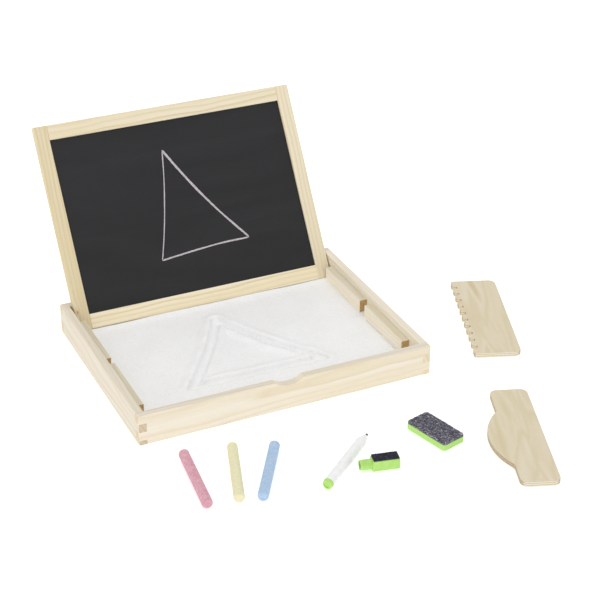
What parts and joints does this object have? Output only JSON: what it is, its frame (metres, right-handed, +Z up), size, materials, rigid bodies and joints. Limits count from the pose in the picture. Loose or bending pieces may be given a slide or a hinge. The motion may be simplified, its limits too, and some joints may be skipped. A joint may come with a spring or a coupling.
{
  "type": "tabletop drawing easel box",
  "caption": "Shallow wooden sand tray with a framed reversible drawing board that leans back as an easel or lies flat as its lid, with loose drawing tools.",
  "frame": {"origin": "middle of the underside of the tray", "axes": "+Z up, +X to the right seen from the front, +Y to the rear, where the board stands"},
  "size_m": [0.4484, 0.5281, 0.1894],
  "materials": {
    "pine": "planed and sanded, clear",
    "plywood": "sanded birch plywood",
    "base_sheet": "thin plywood",
    "sand": "fine white sand",
    "blackboard": "matt blackboard lacquer",
    "whiteboard": "gloss white film",
    "pink_chalk": "dry chalk",
    "yellow_chalk": "dry chalk",
    "blue_chalk": "dry chalk",
    "white_plastic": "moulded",
    "green_plastic": "moulded",
    "green_foam": "moulded",
    "grey_felt": "speckled needle felt",
    "black_felt": "needle felt",
    "ink_fibre": "bonded fibre"
  },
  "bodies": {
    "tray": {"front_rail": "pine", "rear_rail": "pine", "left_wall": "pine", "right_wall": "pine", "base_panel": "base_sheet", "sand_bed": "sand", "left_front_batten": "pine", "left_rear_batten": "pine", "right_front_batten": "pine", "right_rear_batten": "pine"},
    "board": {"board_left_stile": "pine", "board_right_stile": "pine", "board_bottom_rail": "pine", "board_top_rail": "pine", "blackboard_sheet": "blackboard", "whiteboard_sheet": "whiteboard"},
    "chalk_pink": {"chalk_pink": "pink_chalk"},
    "chalk_yellow": {"chalk_yellow": "yellow_chalk"},
    "chalk_blue": {"chalk_blue": "blue_chalk"},
    "marker": {"marker_barrel": "white_plastic", "marker_end_plug": "green_plastic", "marker_nose": "white_plastic", "marker_nib": "black_felt", "marker_ink_core": "ink_fibre"},
    "marker_cap": {"cap_shell": "green_plastic", "cap_felt": "black_felt"},
    "wiper": {"wiper_base": "green_foam", "wiper_felt": "grey_felt"},
    "comb": {"sand_comb": "plywood"},
    "scraper": {"sand_scraper": "plywood"}
  },
  "joints": [
    {"name": "board_tip", "type": "hinge", "parent": "tray", "child": "board", "pos_m": [0, 0.09162, 0.0235], "axis": [1, 0, 0], "range_deg": [0, 122.3]},
    {"name": "chalk_pink_lift", "type": "slide", "parent": "tray", "child": "chalk_pink", "axis": [0, 0, 1], "range_m": [0, 0.12]},
    {"name": "chalk_yellow_lift", "type": "slide", "parent": "tray", "child": "chalk_yellow", "axis": [0, 0, 1], "range_m": [0, 0.12]},
    {"name": "chalk_blue_lift", "type": "slide", "parent": "tray", "child": "chalk_blue", "axis": [0, 0, 1], "range_m": [0, 0.12]},
    {"name": "marker_lift", "type": "slide", "parent": "tray", "child": "marker", "axis": [0, 0, 1], "range_m": [0, 0.12]},
    {"name": "cap_lift", "type": "slide", "parent": "tray", "child": "marker_cap", "axis": [0, 0, 1], "range_m": [0, 0.12]},
    {"name": "wiper_lift", "type": "slide", "parent": "tray", "child": "wiper", "axis": [0, 0, 1], "range_m": [0, 0.12]},
    {"name": "comb_lift", "type": "slide", "parent": "tray", "child": "comb", "axis": [0, 0, 1], "range_m": [0, 0.12]},
    {"name": "scraper_lift", "type": "slide", "parent": "tray", "child": "scraper", "axis": [0, 0, 1], "range_m": [0, 0.12]}
  ]
}
